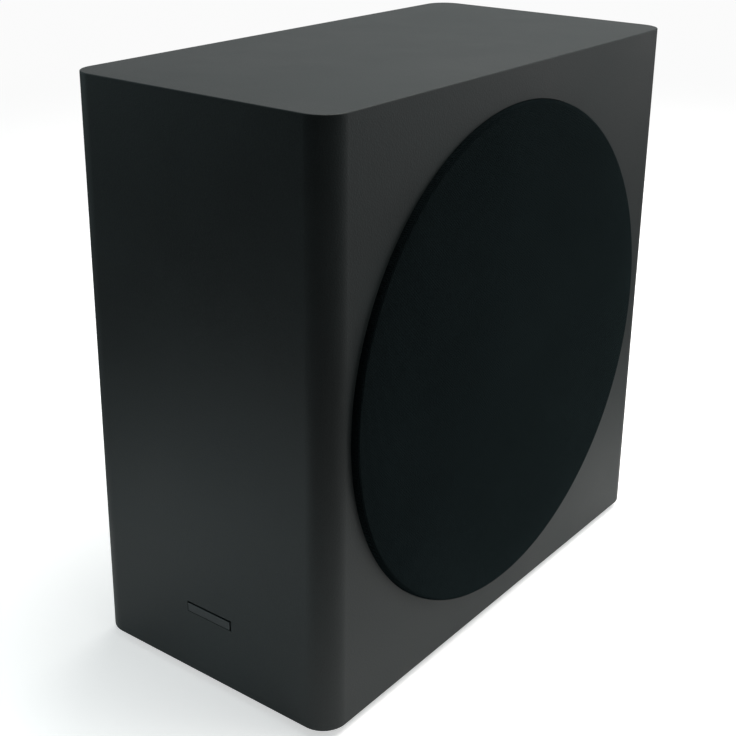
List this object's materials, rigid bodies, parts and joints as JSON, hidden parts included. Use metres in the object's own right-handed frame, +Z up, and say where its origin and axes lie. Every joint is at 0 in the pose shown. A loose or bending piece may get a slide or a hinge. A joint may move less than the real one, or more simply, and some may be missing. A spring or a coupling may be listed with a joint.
{
  "type": "wireless subwoofer",
  "caption": "Tall narrow charcoal subwoofer cabinet with rounded upright corners and a large round fabric grille on its wide side.",
  "frame": {"origin": "on the ground, under the middle of the whole object's box", "axes": "+Z up, the narrow front faces -Y, the round grille faces +X"},
  "size_m": [0.21, 0.403, 0.403],
  "materials": {
    "cabinet_foil": "charcoal foil with a fine moulded grain, satin",
    "fibreboard": "raw medium density fibreboard",
    "damping_felt": "polyester wadding",
    "badge_metal": "dark anodised plate, satin, blank",
    "grille_cloth": "black acoustic knit",
    "black_plastic": "moulded black plastic, fine texture",
    "black_rubber": "black rubber, matte",
    "basket_steel": "black powder coat",
    "bare_steel": "zinc plated steel",
    "screw_steel": "black zinc",
    "ferrite": "sintered ferrite, dull",
    "cone_paper": "black pressed paper pulp",
    "spider_cloth": "resin treated cotton",
    "former_paper": "varnished former",
    "copper_wire": "enamelled copper wire",
    "terminal_brass": "tinned brass lugs on a phenolic strip",
    "plate_paint": "black powder coat, fine texture",
    "lens_plastic": "clear moulded light pipe",
    "label_film": "blank dark film",
    "circuit_board": "green solder mask",
    "heat_sink_aluminium": "extruded, natural"
  },
  "bodies": {
    "cabinet": {"cabinet_wrap": "cabinet_foil", "top_sheet": "cabinet_foil", "base_sheet": "cabinet_foil", "plain_side_board": "fibreboard", "driver_baffle": "fibreboard", "front_board": "fibreboard", "rear_board": "fibreboard", "top_board": "fibreboard", "bottom_board": "fibreboard", "cross_batten_front": "fibreboard", "cross_batten_rear": "fibreboard", "damping_felt": "damping_felt", "front_badge": "badge_metal", "port_flare": "black_plastic", "port_tube": "black_plastic", "mains_inlet": "black_plastic", "filter_capacitor": "black_plastic", "twin_lead": "black_plastic", "foot_front_left": "black_rubber", "foot_front_right": "black_rubber", "foot_rear_left": "black_rubber", "foot_rear_right": "black_rubber", "surround": "black_rubber", "flange_gasket": "black_rubber", "basket": "basket_steel", "top_plate": "bare_steel", "yoke": "bare_steel", "inlet_pin_left": "bare_steel", "inlet_pin_right": "bare_steel", "power_transformer": "bare_steel", "driver_screw_1": "screw_steel", "driver_screw_2": "screw_steel", "driver_screw_3": "screw_steel", "driver_screw_4": "screw_steel", "driver_screw_5": "screw_steel", "driver_screw_6": "screw_steel", "plate_screw_1": "screw_steel", "plate_screw_2": "screw_steel", "plate_screw_3": "screw_steel", "plate_screw_4": "screw_steel", "plate_screw_5": "screw_steel", "plate_screw_6": "screw_steel", "magnet_ring": "ferrite", "spider": "spider_cloth", "terminal_strip": "terminal_brass", "amplifier_plate": "plate_paint", "link_lens": "lens_plastic", "standby_lens": "lens_plastic", "blank_label": "label_film", "amplifier_circuit": "circuit_board", "wireless_module": "circuit_board", "heat_sink": "heat_sink_aluminium"},
    "cone_assembly": {"cone": "cone_paper", "dust_cap": "cone_paper", "coil_former": "former_paper", "coil_winding": "copper_wire"},
    "grille": {"grille_frame": "black_plastic", "grille_fabric": "grille_cloth"},
    "pairing_button": {"pairing_button": "black_plastic"}
  },
  "joints": [
    {"name": "cone_travel", "type": "slide", "parent": "cabinet", "child": "cone_assembly", "axis": [1, 0, 0], "range_m": [-0.006, 0.006], "stiffness_N_per_m": 1500, "deforming": ["surround", "spider"]},
    {"name": "grille_pull", "type": "slide", "parent": "cabinet", "child": "grille", "axis": [1, 0, 0], "range_m": [0, 0.06]},
    {"name": "pairing_press", "type": "slide", "parent": "cabinet", "child": "pairing_button", "axis": [0, -1, 0], "range_m": [0, 0.0008], "stiffness_N_per_m": 800}
  ]
}
